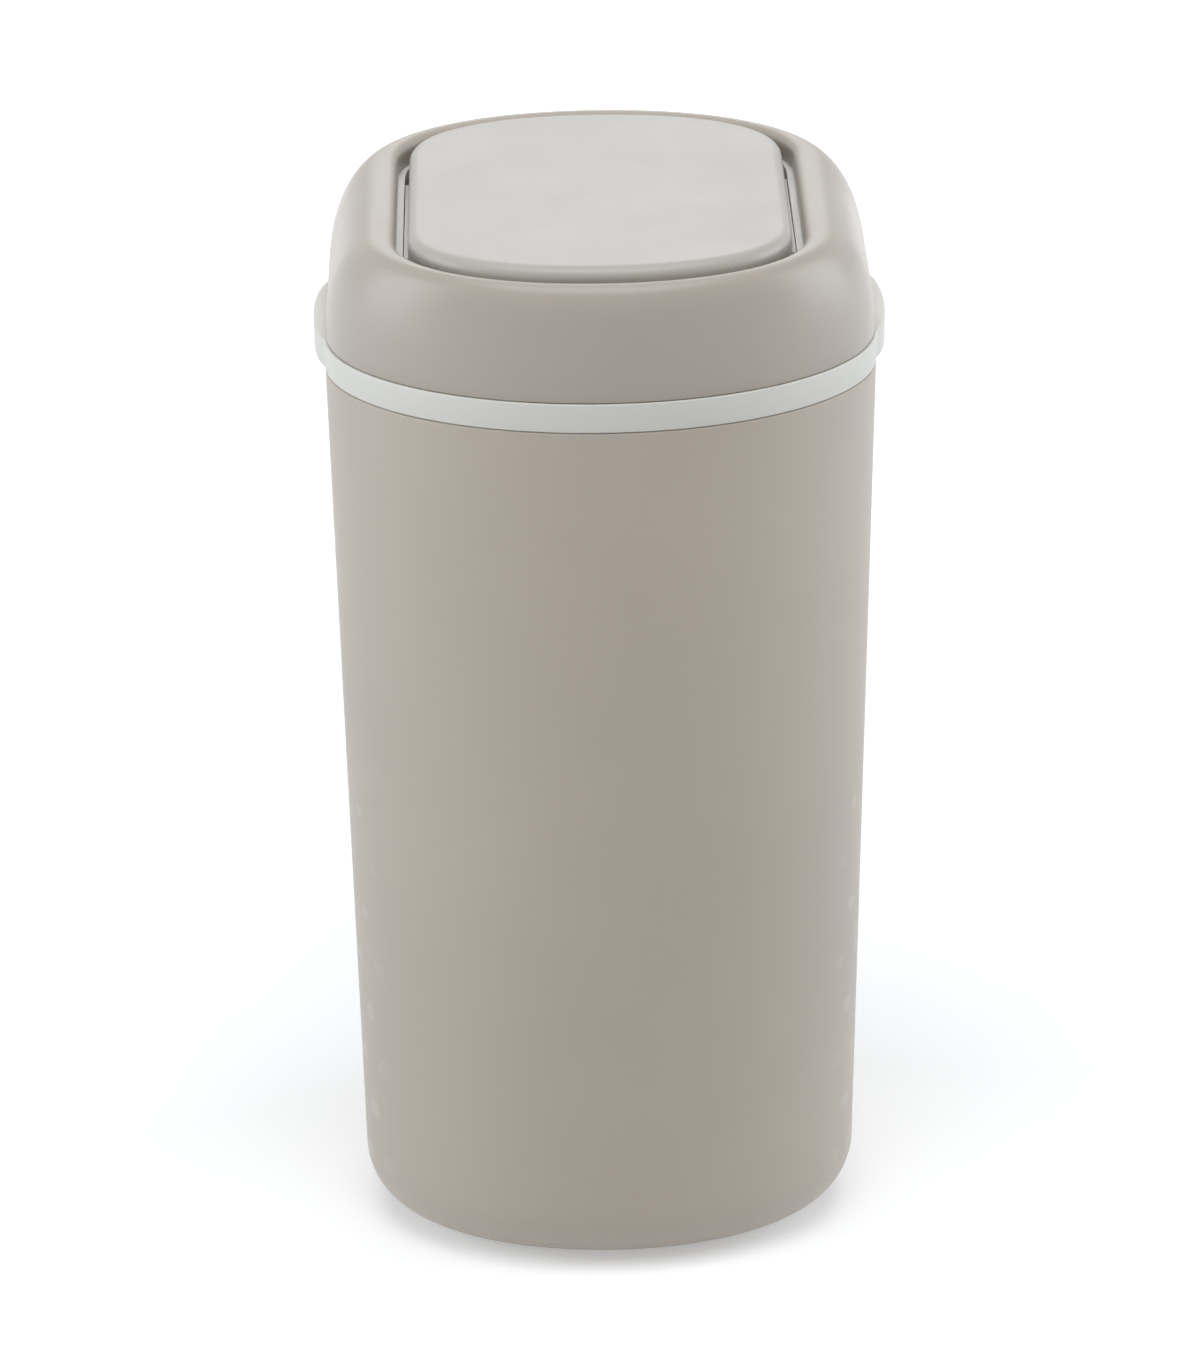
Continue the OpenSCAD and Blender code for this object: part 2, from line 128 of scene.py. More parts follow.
class NodeBoard:
    """Lays out the nodes of a material or a world."""

    def __init__(self, owner: Material | bpy.types.World) -> None:
        """Opens the owner's nodes."""
        owner.use_nodes = True
        self.tree = owner.node_tree

    def feed(self, socket: Socket, value: object) -> None:
        """Links a socket to the one that feeds it, or sets it to a value."""
        if isinstance(value, Socket):
            self.tree.links.new(value, socket)
        else:
            socket.default_value = value

    def add(self, kind: str, **values: object) -> bpy.types.Node:
        """Adds a node and feeds its inputs.

        Args:
            kind: Blender's name for the type of node.
            **values: Values or sockets by the input's name, with spaces written as underscores.

        Returns:
            The new node.
        """
        node = self.tree.nodes.new(kind)
        for key, value in values.items():
            self.feed(node.inputs[key.replace("_", " ")], value)
        return node

    def math(self, operation: str, *values: object) -> Socket:
        """Adds one sum.

        Args:
            operation: Blender's name for the sum.
            *values: Numbers, or the sockets that give them.

        Returns:
            The result.
        """
        node = self.add("ShaderNodeMath")
        node.operation = operation
        for socket, value in zip(node.inputs, values):
            self.feed(socket, value)
        return node.outputs[0]

    def seen_directly(self) -> Socket:
        """Adds a value that is 1 for rays that show the surface itself, in glass or in a gloss."""
        path = self.add("ShaderNodeLightPath").outputs
        in_gloss = self.math("MAXIMUM", path["Is Camera Ray"], path["Is Glossy Ray"])
        return self.math("MAXIMUM", in_gloss, path["Is Transmission Ray"])


class FinishBoard(NodeBoard):
    """Lays out the nodes of one finish that reads Object coordinates."""

    NOISE_RANGE = {"From_Min": 0.3, "From_Max": 0.7}
    SHARE_AND_COLOURS = (0, 6, 7)
    MIXED_COLOUR = 2

    def __init__(self, name: str) -> None:
        """Starts a material that holds only its shader.

        Args:
            name: Name of the material.
        """
        self.material = bpy.data.materials.new(name)
        super().__init__(self.material)
        self.place = self.add("ShaderNodeTexCoord").outputs["Object"]

    def noise(self, scale: float, detail: float = 2.0, stretch: Stretch = (1, 1, 1)) -> Socket:
        """Adds a noise pattern: patches per metre, finer layers on them, and its scale along each axis."""
        place = self.add("ShaderNodeMapping", Vector=self.place, Scale=stretch).outputs["Vector"]
        return self.add("ShaderNodeTexNoise", Vector=place, Scale=scale, Detail=detail).outputs["Fac"]

    def between(self, value: Socket, low: float, high: float) -> Socket:
        """Maps a noise value onto the range from low to high."""
        ramp = self.add("ShaderNodeMapRange", Value=value, To_Min=low, To_Max=high, **self.NOISE_RANGE)
        return ramp.outputs["Result"]

    def blend(self, share: Socket, first: object, second: object) -> Socket:
        """Mixes two colours.

        Args:
            share: How much of the second colour shows, 0 to 1.
            first: A colour, or the socket that gives one.
            second: A colour, or the socket that gives one.

        Returns:
            The mixed colour.
        """
        mix = self.add("ShaderNodeMix")
        mix.data_type = "RGBA"
        for index, value in zip(self.SHARE_AND_COLOURS, (share, first, second)):
            self.feed(mix.inputs[index], value)
        return mix.outputs[self.MIXED_COLOUR]

    def bump(self, height: Socket, depth: float, strength: float) -> Socket:
        """Raises the surface by a pattern, to a depth in metres."""
        return self.add("ShaderNodeBump", Height=height, Distance=depth, Strength=strength).outputs["Normal"]

    def dress(self, values: dict[str, object]) -> Material:
        """Feeds the shader's inputs by name.

        Args:
            values: What feeds each input.

        Returns:
            The finished material.
        """
        shader = self.tree.nodes["Principled BSDF"]
        for name, value in values.items():
            self.feed(shader.inputs[name], value)
        return self.material


@dataclass(frozen=True)
class Finish:
    """A procedural finish: two shades in patches, gloss that wanders, and a grain.

    A pattern is given by its patches per metre, its finer layers and its scale along each axis.
    """

    name: str
    colour: Colour
    roughness: float

    SHADES: ClassVar[tuple[float, float]]
    PATCHES: ClassVar[Pattern]
    GLOSS: ClassVar[Pattern]
    GLOSS_SPREAD: ClassVar[float]
    GRAIN: ClassVar[Pattern]
    GRAIN_DEPTH: ClassVar[float]
    GRAIN_STRENGTH: ClassVar[float]

    def shades(self) -> tuple[float, float]:
        """Gives the factors of the two shades."""
        return self.SHADES

    def fixed(self) -> dict[str, float]:
        """Gives what is the same all over, by the input's name."""
        return {}

    def paint(self, board: FinishBoard) -> Socket:
        """Lays out the two shades, which drift into each other."""
        first, second = (scaled(linear(self.colour), by) for by in self.shades())
        return board.blend(board.between(board.noise(*self.PATCHES), 0, 1), first, second)

    def material(self) -> Material:
        """Builds the finish's material."""
        board = FinishBoard(self.name)
        gloss = board.noise(*self.GLOSS)
        low, high = self.roughness - self.GLOSS_SPREAD, self.roughness + self.GLOSS_SPREAD
        return board.dress({
            "Base Color": self.paint(board),
            "Roughness": board.between(gloss, low, high),
            "Normal": board.bump(board.noise(*self.GRAIN), self.GRAIN_DEPTH, self.GRAIN_STRENGTH),
            **self.fixed(),
        })


@dataclass(frozen=True)
class MouldedPlastic(Finish):
    """Satin injection-moulded plastic with a fine spark-eroded grain."""

    mottle: float = 0.025
    bloom: float = 0.2

    PATCHES = (9.0, 3.0)
    GLOSS = (42.0, 4.0, (1, 1, 0.4))
    GLOSS_SPREAD = 0.04
    GRAIN = (2600.0, 2.0)
    GRAIN_DEPTH = 0.00003
    GRAIN_STRENGTH = 0.35
    IOR = 1.49
    BLOOM_ROUGHNESS = 0.5

    def shades(self) -> tuple[float, float]:
        """Gives the factors of the two shades."""
        return 1 - self.mottle, 1 + self.mottle

    def fixed(self) -> dict[str, float]:
        """Gives what is the same all over, by the input's name."""
        return {"IOR": self.IOR, "Sheen Weight": self.bloom, "Sheen Roughness": self.BLOOM_ROUGHNESS}


@dataclass(frozen=True)
class DottedPlastic(MouldedPlastic):
    """Moulded plastic with rows of pale round dots low on its two sides, smaller towards the top."""

    DOT_COLOUR = (192, 183, 171)
    COLUMN_PITCH = 0.0192
    ROW_PITCH = 0.025
    FIRST_ROW = 0.035
    RADIUS_AT_FLOOR = 0.0055
    SHRINK = 0.0118
    SOFT_RIM = 0.0004
    SIDE_X = 0.07
    BOTTOM_Z = 0.022
    TOP_Z = 0.23
    HALF_DEPTH = 0.073
    FADE = 0.015

    def paint(self, board: FinishBoard) -> Socket:
        """Lays the dots over the drifting colour.

        Args:
            board: The material's nodes.

        Returns:
            The colour's socket.
        """
        plain = super().paint(board)
        across, depth, height = board.add("ShaderNodeSeparateXYZ", Vector=board.place).outputs
        first_cell = 0.5 - self.FIRST_ROW / self.ROW_PITCH
        rows = board.math("ADD", board.math("DIVIDE", height, self.ROW_PITCH), first_cell)
        stagger = board.math("MULTIPLY", board.math("MODULO", board.math("FLOOR", rows), 2.0), 0.5)
        columns = board.math("ADD", board.math("DIVIDE", depth, self.COLUMN_PITCH), stagger)
        off_row = self.from_middle(board, rows, self.ROW_PITCH)
        off_column = self.from_middle(board, columns, self.COLUMN_PITCH)
        squares = board.math("ADD", board.math("POWER", off_row, 2.0), board.math("POWER", off_column, 2.0))
        radius = board.math("SUBTRACT", self.RADIUS_AT_FLOOR, board.math("MULTIPLY", height, self.SHRINK))
        margin = board.math("SUBTRACT", self.HALF_DEPTH, board.math("ABSOLUTE", depth))
        disc = self.ramp(board, board.math("SUBTRACT", radius, board.math("SQRT", squares)), self.SOFT_RIM)
        for limit in (
            board.math("GREATER_THAN", board.math("ABSOLUTE", across), self.SIDE_X),
            board.math("GREATER_THAN", height, self.BOTTOM_Z),
            board.math("LESS_THAN", height, self.TOP_Z),
            self.ramp(board, margin, self.FADE),
        ):
            disc = board.math("MULTIPLY", disc, limit)
        return board.blend(disc, plain, linear(self.DOT_COLOUR))

    @staticmethod
    def ramp(board: FinishBoard, value: Socket, width: float) -> Socket:
        """Gives a share that rises from 0 to 1 as a value rises from nothing to a width."""
        return board.math("MINIMUM", board.math("MAXIMUM", board.math("DIVIDE", value, width), 0.0), 1.0)

    @staticmethod
    def from_middle(board: FinishBoard, cells: Socket, pitch: float) -> Socket:
        """Gives the distance in metres from the middle of a cell, where places are counted in cells."""
        share = board.math("SUBTRACT", board.math("FRACT", cells), 0.5)
        return board.math("MULTIPLY", board.math("ABSOLUTE", share), pitch)


@dataclass(frozen=True)
class Rubber(Finish):
    """Matte moulded rubber with a little dust on it."""

    SHADES = (1.0, 1.35)
    PATCHES = (160.0, 4.0)
    GLOSS = (300.0, 2.0)
    GLOSS_SPREAD = 0.06
    GRAIN = (2200.0, 3.0)
    GRAIN_DEPTH = 0.00004
    GRAIN_STRENGTH = 0.5


@dataclass(frozen=True)
class PlatedSteel(Finish):
    """Zinc-plated steel, drawn along one direction."""

    SHADES = (1.0, 0.86)
    PATCHES = (220.0, 3.0)
    GLOSS = (900.0, 3.0, (0.06, 1, 1))
    GLOSS_SPREAD = 0.09
    GRAIN = GLOSS
    GRAIN_DEPTH = 0.00002
    GRAIN_STRENGTH = 0.3
    BRUSHED = 0.35

    def fixed(self) -> dict[str, float]:
        """Gives what is the same all over, by the input's name."""
        return {"Metallic": 1.0, "Anisotropic": self.BRUSHED}


class Paintbox:
    """Holds the finish of each slot, and the dotted one of the tub and the greyer one of the flap."""

    FINISHES = {
        Slot.TAUPE: MouldedPlastic("taupe_satin", (179, 169, 157), 0.33),
        Slot.WHITE: MouldedPlastic("off_white_satin", (220, 218, 210), 0.48, mottle=0.012, bloom=0.0),
        Slot.GREY: MouldedPlastic("pale_grey_matte", (230, 228, 224), 0.46, mottle=0.015),
        Slot.ACETAL: MouldedPlastic("acetal_smooth", (240, 240, 234), 0.3, mottle=0.01, bloom=0.0),
        Slot.RUBBER: Rubber("dark_rubber", (52, 52, 52), 0.78),
        Slot.STEEL: PlatedSteel("plated_steel", (196, 198, 200), 0.33),
    }
    DOTTED = DottedPlastic("taupe_satin_dotted", (185, 174, 160), 0.46)
    GREYER = MouldedPlastic("taupe_satin_greyer", (184, 179, 170), 0.35)

    def __init__(self) -> None:
        """Builds every material once."""
        self.by_slot = {slot: finish.material() for slot, finish in self.FINISHES.items()}
        self.dotted = self.DOTTED.material()
        self.greyer = self.GREYER.material()


# ---------------------------------------------------------------- modelling helpers


def start_fresh() -> None:
    """Leaves edit mode and deselects everything, so that an operator acts on one piece only."""
    if bpy.context.object and bpy.context.object.mode != "OBJECT":
        bpy.ops.object.mode_set(mode="OBJECT")
    bpy.ops.object.select_all(action="DESELECT")


def pick(piece: Piece) -> None:
    """Makes one object the only selected and the active one.

    Args:
        piece: The object.
    """
    start_fresh()
    piece.select_set(True)
    bpy.context.view_layer.objects.active = piece


def lobe(share: float, power: float) -> float:
    """Bends a sine or cosine so that an arch of it is an ellipse at power 2 and squarer above."""
    return math.copysign(abs(share) ** (2 / power), share)


@dataclass(frozen=True)
class Plan:
    """Barrel outline seen from above, in millimetres: two arched ends joined by straight sides."""

    wide: float
    deep: float
    flat: float
    power: float = 2.0

    ARC_STEPS = 60
    SIDE_STEPS = 16

    def inset(self, by: float) -> "Plan":
        """Gives the outline drawn in by a distance."""
        return replace(self, wide=self.wide - by, deep=self.deep - by)

    def ring(self, height: float, swell: Callable[[float], float] | None = None) -> Ring:
        """Gives the outline's points at a height.

        Args:
            height: Height in millimetres.
            swell: How far the sides stand out at each depth, if they do.

        Returns:
            The points in metres, counter-clockwise from the right side.
        """
        points: list[tuple[float, float]] = []
        for side in (1, -1):
            for step in range(self.ARC_STEPS + 1):
                angle = math.pi * step / self.ARC_STEPS
                arch = self.flat + (self.deep - self.flat) * lobe(math.sin(angle), self.power)
                points.append((side * self.wide * lobe(math.cos(angle), self.power), side * arch))
            for step in range(1, self.SIDE_STEPS):
                points.append((-side * self.wide, side * self.flat * (1 - 2 * step / self.SIDE_STEPS)))
        if swell:
            points = [(x + math.copysign(swell(y), x), y) for x, y in points]
        return [Vector((x, y, height)) * MM for x, y in points]


@dataclass(frozen=True)
class Corner:
    """A corner of a profile: its inset from the outline, its height and its radius, in millimetres."""

    inset: float
    height: float
    radius: float = 0.0


def rounded(corners: Sequence[Corner], chord: float = WIDE_CHORD) -> list[tuple[float, float]]:
    """Rounds the corners of a profile.

    Args:
        corners: The profile's corners in order.
        chord: Longest step along an arc, in millimetres.

    Returns:
        Inset and height of each point of the rounded profile.
    """
    spots = [Vector((c.inset, c.height)) for c in corners]
    path: list[tuple[float, float]] = []
    for index, corner in enumerate(corners):
        here = spots[index]
        if not corner.radius or index in (0, len(corners) - 1):
            path.append((here.x, here.y))
            continue
        back = (spots[index - 1] - here).normalized()
        ahead = (spots[index + 1] - here).normalized()
        half = back.angle(ahead) / 2
        centre = here + (back + ahead).normalized() * corner.radius / math.sin(half)
        start = here + back * corner.radius / math.tan(half) - centre
        turn = (here + ahead * corner.radius / math.tan(half) - centre).angle_signed(start)
        steps = max(FEWEST_STEPS, math.ceil(abs(turn) * corner.radius / chord))
        for step in range(steps + 1):
            spoke = Matrix.Rotation(turn * step / steps, 2) @ start
            path.append((centre.x + spoke.x, centre.y + spoke.y))
    return path


def settle(piece: Piece, ring: Ring) -> None:
    """Sets the selected ring's points to an outline.

    Args:
        piece: The shell in edit mode, whose points know their spoke.
        ring: The outline's points by spoke.
    """
    mesh = bmesh.from_edit_mesh(piece.data)
    spoke = mesh.verts.layers.int[SPOKE]
    for vert in mesh.verts:
        if vert.select:
            vert.co = ring[vert[spoke]]
    bmesh.update_edit_mesh(piece.data)


def loft(rings: Sequence[Ring], looped: bool) -> Piece:
    """Draws a closed shell ring by ring: each level is extruded from the last and set to its outline.

    Args:
        rings: The levels' outlines in order.
        looped: True joins the last level to the first one, and False fills each with a flat face.

    Returns:
        The finished shell, with its faces pointing outwards.
    """
    start_fresh()
    bpy.ops.mesh.primitive_circle_add(vertices=len(rings[0]), radius=rings[0][0].length)
    piece = bpy.context.object
    piece.data.attributes.new(SPOKE, "INT", "POINT").data.foreach_set("value", list(range(len(rings[0]))))
    bpy.ops.object.mode_set(mode="EDIT")
    bpy.ops.mesh.select_mode(type="VERT")
    bpy.ops.mesh.select_all(action="SELECT")
    settle(piece, rings[0])
    for ring in rings[1:]:
        bpy.ops.mesh.extrude_region_move()
        settle(piece, ring)
    bpy.ops.mesh.select_all(action="DESELECT" if looped else "SELECT")
    if looped:
        bpy.ops.mesh.select_non_manifold(extend=False)
        bpy.ops.mesh.bridge_edge_loops()
    else:
        bpy.ops.mesh.fill_holes(sides=0)
    bpy.ops.mesh.select_all(action="SELECT")
    if bmesh.from_edit_mesh(piece.data).calc_volume(signed=True) < 0:
        bpy.ops.mesh.flip_normals()
    bpy.ops.object.mode_set(mode="OBJECT")
    piece.data.attributes.remove(piece.data.attributes[SPOKE])
    return piece


def lathe_of(plan: Plan, corners: Sequence[Corner], looped: bool, chord: float = WIDE_CHORD) -> Piece:
    """Runs a rounded profile round an outline."""
    return loft([plan.inset(inset).ring(height) for inset, height in rounded(corners, chord)], looped)


def cylinder(place: Sequence[float], levels: tuple[float, float], radius: float, sides: int) -> Piece:
    """Adds an upright cylinder.

    Args:
        place: Its axis in plan, in metres.
        levels: Its foot and its top in metres.
        radius: Its radius in metres.
        sides: How many flat sides make it round.

    Returns:
        The cylinder, with its place in its mesh.
    """
    low, high = levels
    middle = (place[0], place[1], (low + high) / 2)
    start_fresh()
    bpy.ops.mesh.primitive_cylinder_add(vertices=sides, radius=radius, depth=high - low, location=middle)
    bpy.ops.object.transform_apply()
    return bpy.context.object


def stand_at(piece: Piece, height: float, tilt: float = 0.0) -> None:
    """Moves a piece drawn round the pivot line into place.

    Args:
        piece: The piece, with its heights counted from the pivot line.
        height: Height of the pivot line in millimetres.
        tilt: Turn about the pivot line in radians.
    """
    pick(piece)
    piece.location.z = height * MM
    piece.rotation_euler.x = tilt
    bpy.ops.object.transform_apply()


def eased_copy(node: str, edge: float) -> Piece:
    """Copies a node of the construction and rounds its sharp edges a little.

    Args:
        node: The node's name.
        edge: Width of the rounding in millimetres.

    Returns:
        The copy.
    """
    pick(frame["nodes"][node])
    bpy.ops.object.duplicate()
    piece = bpy.context.object
    piece.parent = None
    for key in list(piece.keys()):
        del piece[key]
    bpy.ops.object.mode_set(mode="EDIT")
    bpy.ops.mesh.select_all(action="SELECT")
    bpy.ops.mesh.remove_doubles(threshold=WELD)
    bpy.ops.mesh.dissolve_limited(angle_limit=FLAT_WITHIN)
    bpy.ops.object.mode_set(mode="OBJECT")
    rounding = piece.modifiers.new("rounding", "BEVEL")
    rounding.width = edge * MM
    rounding.segments = 2
    rounding.limit_method = "ANGLE"
    rounding.angle_limit = EDGE_FROM
    bpy.ops.object.modifier_apply(modifier=rounding.name)
    return piece


def islands(node: str) -> list[tuple[Vector, Vector]]:
    """Finds the separate solids of a node.

    Args:
        node: The node's name.

    Returns:
        Lowest and highest corner of each solid, from left to right and front to back.
    """
    mesh = bmesh.new()
    mesh.from_mesh(frame["nodes"][node].data)
    bmesh.ops.remove_doubles(mesh, verts=mesh.verts, dist=WELD)
    left = set(mesh.verts)
    boxes = []
    while left:
        found, edge = set(), {next(iter(left))}
        while edge:
            found |= edge
            edge = {e.other_vert(v) for v in edge for e in v.link_edges} - found
        left -= found
        low = Vector([min(v.co[axis] for v in found) for axis in range(3)])
        high = Vector([max(v.co[axis] for v in found) for axis in range(3)])
        boxes.append((low, high))
    mesh.free()
    return sorted(boxes, key=lambda box: (round(box[0].x, SORT_DIGITS), round(box[0].y, SORT_DIGITS)))


class Bench:
    """Finishes pieces: shades, names, paints and seats each on its body."""

    def __init__(self, paints: Paintbox) -> None:
        """Keeps the paints at hand."""
        self.paints = paints

    def seat(self, piece: Piece, node: str, body: Body, slot: Slot, paint: Material | None = None) -> None:
        """Finishes one piece that stands for a node.

        Args:
            piece: The modelled piece, in place.
            node: The node that it stands for.
            body: The body that it rides on.
            slot: The slot of its finish.
            paint: A finish of its own, if it has one.
        """
        pick(piece)
        bpy.ops.object.shade_smooth_by_angle(angle=SMOOTH_BELOW)
        piece.name = f"{node}_shape"
        piece.data.name = piece.name
        piece.data.materials.clear()
        piece.data.materials.append(paint or self.paints.by_slot[slot])
        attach(piece, body.value)
        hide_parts(node)
        faces = len(piece.data.polygons)
        LOG.info("%s stands for %s on %s, %d faces", piece.name, node, body.value, faces)

    def ease(self, body: Body, edges: Sequence[tuple[str, float, Slot]]) -> None:
        """Finishes copies of nodes, each given by node, width of its rounding and slot."""
        for node, edge, slot in edges:
            self.seat(eased_copy(node, edge), node, body, slot)

    def screw_down(self, body: Body, rows: Sequence[tuple[str, bool]]) -> None:
        """Finishes groups of screws, each given by node and whether its heads face down."""
        for node, head_down in rows:
            self.seat(PanScrew().row(node, head_down), node, body, Slot.STEEL)


# ---------------------------------------------------------------- the bin's sub-assemblies


@dataclass(frozen=True)
class Stature:
    """Main sizes in millimetres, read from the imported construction."""

    half_width: float
    half_depth: float
    shoulder: float
    band_top: float
    pivot: float
    lip: float

    NECK_HEIGHT = 6.0
    PIVOT_DROP = 19.0
    BODY_FLAT = 33.5
    OPENING = Plan(87.8, 103.5, 50.0, 2.1)
    FLAP = Plan(82.6, 101.05, 50.0, 2.2)

    @classmethod
    def read(cls) -> "Stature":
        """Reads the sizes from the nodes' boxes and the flap's joint."""
        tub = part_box("tub")[1] / MM
        swing = next(joint for joint in frame["joints"] if joint["name"] == "flap_swing")
        pivot = swing["pos_m"][2] / MM
        band_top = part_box("bag_ring")[1].z / MM
        return cls(tub.x, tub.y, tub.z - cls.NECK_HEIGHT, band_top, pivot, pivot + cls.PIVOT_DROP)

    def body(self, inset: float = 0.0) -> Plan:
        """Gives the outline that tub, ring and lid share, drawn in by a distance."""
        return Plan(self.half_width - inset, self.half_depth - inset, self.BODY_FLAT)

    def opening(self, out: float = 0.0) -> Plan:
        """Gives the outline of the lid's opening, drawn out by a distance."""
        return self.OPENING.inset(-out)

    def flap(self, inset: float = 0.0) -> Plan:
        """Gives the flap's outline, drawn in by a distance."""
        return self.FLAP.inset(inset)


@dataclass
class Tub:
    """The tapered tub with its neck and inside, on four rubber feet."""

    stature: Stature
    base_in: float = 8.4
    base_round: float = 32.0
    wall: float = 2.8
    floor_z: float = 1.2
    floor: float = 3.2
    neck_in: float = 3.4
    neck_wall: float = 2.4
    neck_root: float = 1.0
    neck_ramp: float = 4.0
    flat_reach: float = 8.0
    shoulder_round: float = 0.9
    ledge_round: float = 0.4
    neck_round: float = 0.7
    ramp_round: float = 1.0
    socket_play: float = 0.1
    pad_round: float = 0.7

    GROOVE = ((2.2, 0.0), (0.4, 0.5), (1.4, 0.0), (0.4, -0.5))
    ROUND = 64

    def profile(self) -> list[Corner]:
        """Lists the corners from the middle of the base, over the neck, to the middle of the inside."""
        top = self.stature.shoulder
        taper = self.base_in / (top - self.floor_z - self.base_round)
        foot_in = self.base_in + taper * self.base_round
        inside_floor = self.floor_z + self.floor
        inside_round = self.base_round - self.wall
        neck_top = top + Stature.NECK_HEIGHT
        neck_inner = self.neck_in + self.neck_wall
        ramp_top = top - self.neck_root
        return [
            Corner(foot_in + self.base_round + self.flat_reach, self.floor_z),
            Corner(foot_in, self.floor_z, self.base_round),
            Corner(0, top, self.shoulder_round),
            Corner(self.neck_in, top, self.ledge_round),
            Corner(self.neck_in, neck_top, self.neck_round),
            Corner(neck_inner, neck_top, self.neck_round),
            Corner(neck_inner, ramp_top, self.ramp_round),
            Corner(self.wall, ramp_top - self.neck_ramp, self.ramp_round),
            Corner(foot_in + self.wall, inside_floor, inside_round),
            Corner(foot_in + self.wall + inside_round + self.flat_reach, inside_floor),
        ]

    def build(self, bench: Bench) -> None:
        """Models the tub and its feet.

        Args:
            bench: Where the pieces are finished.
        """
        shell = lathe_of(self.stature.body(), self.profile(), looped=False)
        for low, high in islands("foot_pads"):
            radius = (high.x - low.x) / 2 + self.socket_play * MM
            carve(shell, cylinder((low + high) / 2, (-high.z, high.z), radius, self.ROUND))
        bench.seat(shell, "tub", Body.TUB, Slot.TAUPE, bench.paints.dotted)
        bench.seat(self.feet(), "foot_pads", Body.TUB, Slot.RUBBER)

    def feet(self) -> Piece:
        """Models the four feet: round pads with a rounded edge and a shallow ring groove underneath."""
        pads = []
        for low, high in islands("foot_pads"):
            pad = cylinder((low + high) / 2, (low.z, high.z), (high.x - low.x) / 2, self.ROUND)
            bpy.ops.object.mode_set(mode="EDIT")
            select_faces(pad, looks_down)
            bpy.ops.mesh.bevel(offset=self.pad_round * MM, segments=EDGE_STEPS)
            select_faces(pad, looks_down)
            for draw_in, rise in self.GROOVE:
                bpy.ops.mesh.inset(thickness=draw_in * MM)
                bpy.ops.transform.translate(value=(0, 0, rise * MM))
            bpy.ops.object.mode_set(mode="OBJECT")
            pads.append(pad)
        return joined(pads)


def looks_down(face: bmesh.types.BMFace) -> bool:
    """Says whether a face is level and looks down."""
    return face.normal.z < -LEVEL


def select_faces(piece: Piece, wanted: Callable[[bmesh.types.BMFace], bool]) -> None:
    """Selects faces of the piece in edit mode, and nothing else.

    Args:
        piece: The piece, in edit mode.
        wanted: Says of a face whether it is selected.
    """
    bpy.ops.mesh.select_mode(type="FACE")
    bpy.ops.mesh.select_all(action="DESELECT")
    mesh = bmesh.from_edit_mesh(piece.data)
    for face in mesh.faces:
        face.select_set(wanted(face))
    bmesh.update_edit_mesh(piece.data)


def joined(pieces: Sequence[Piece]) -> Piece:
    """Joins separate solids into one piece.

    Args:
        pieces: The solids.

    Returns:
        The joined piece.
    """
    pick(pieces[0])
    for piece in pieces:
        piece.select_set(True)
    bpy.ops.object.join()
    return bpy.context.object


@dataclass
class BagRing:
    """The pale band that holds the bag, with a half-oval grip at each side, and its seal."""

    stature: Stature
    seam: float = 0.35
    band_wall: float = 2.6
    edge: float = 0.5
    throat_in: float = 12.0
    skirt_wall: float = 2.4
    skirt_drop: float = 14.0
    web_drop: float = 2.4
    web_wall: float = 2.5
    throat_round: float = 0.9
    skirt_round: float = 0.7
    skirt_root: float = 0.8
    grip_length: float = 70.0
    grip_out: float = 5.5

    SEAL_INSETS = (3.1, 6.1)

    def swell(self, depth: float) -> float:
        """Gives how far a grip stands out at a depth."""
        if abs(depth) >= self.grip_length / 2:
            return 0.0
        return self.grip_out * math.sqrt(math.cos(math.pi * depth / self.grip_length))

    def profile(self) -> list[Corner]:
        """Lists the corners of the band, the web and the skirt that hangs into the tub."""
        low, high = self.stature.shoulder + self.seam, self.stature.band_top
        web_top = high - self.web_drop
        web_low = web_top - self.web_wall
        skirt_out = self.throat_in - self.skirt_wall
        skirt_low = self.stature.shoulder - self.skirt_drop
        return [
            Corner(self.band_wall, low),
            Corner(0, low, self.edge),
            Corner(0, high, self.edge),
            Corner(self.band_wall, high, self.edge),
            Corner(self.band_wall, web_top, self.edge),
            Corner(self.throat_in, web_top, self.throat_round),
            Corner(self.throat_in, skirt_low, self.skirt_round),
            Corner(skirt_out, skirt_low, self.skirt_round),
            Corner(skirt_out, web_low, self.skirt_root),
            Corner(self.band_wall, web_low, self.edge),
        ]

    def build(self, bench: Bench) -> None:
        """Models the ring and its seal.

        Args:
            bench: Where the pieces are finished.
        """
        rings = []
        for inset, height in rounded(self.profile(), FINE_CHORD):
            share = max(0.0, 1 - inset / self.band_wall)
            rings.append(self.stature.body(inset).ring(height, lambda depth: share * self.swell(depth)))
        bench.seat(loft(rings, looped=True), "bag_ring", Body.RING, Slot.WHITE)
        gasket = seal(self.stature.body(), self.SEAL_INSETS, levels_of("ring_seal"))
        bench.seat(gasket, "ring_seal", Body.RING, Slot.RUBBER)


def levels_of(node: str) -> tuple[float, float]:
    """Reads a node's lowest and highest level in millimetres."""
    low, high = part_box(node)
    return low.z / MM, high.z / MM


def seal(plan: Plan, insets: tuple[float, float], levels: tuple[float, float]) -> Piece:
    """Models a rubber seal with rounded corners.

    Args:
        plan: The outline that it follows.
        insets: Its outer and inner edge, drawn in from the outline, in millimetres.
        levels: Its lowest and highest level in millimetres.

    Returns:
        The seal.
    """
    corner_round = 0.5
    seam = 0.1
    low, high = levels
    outer, inner = insets
    middle = (outer + inner) / 2
    corners = [
        Corner(middle, low),
        Corner(outer, low, corner_round),
        Corner(outer, high, corner_round),
        Corner(middle, high),
        Corner(inner, high, corner_round),
        Corner(inner, low, corner_round),
        Corner(middle - seam, low),
    ]
    return lathe_of(plan, corners, looped=True)


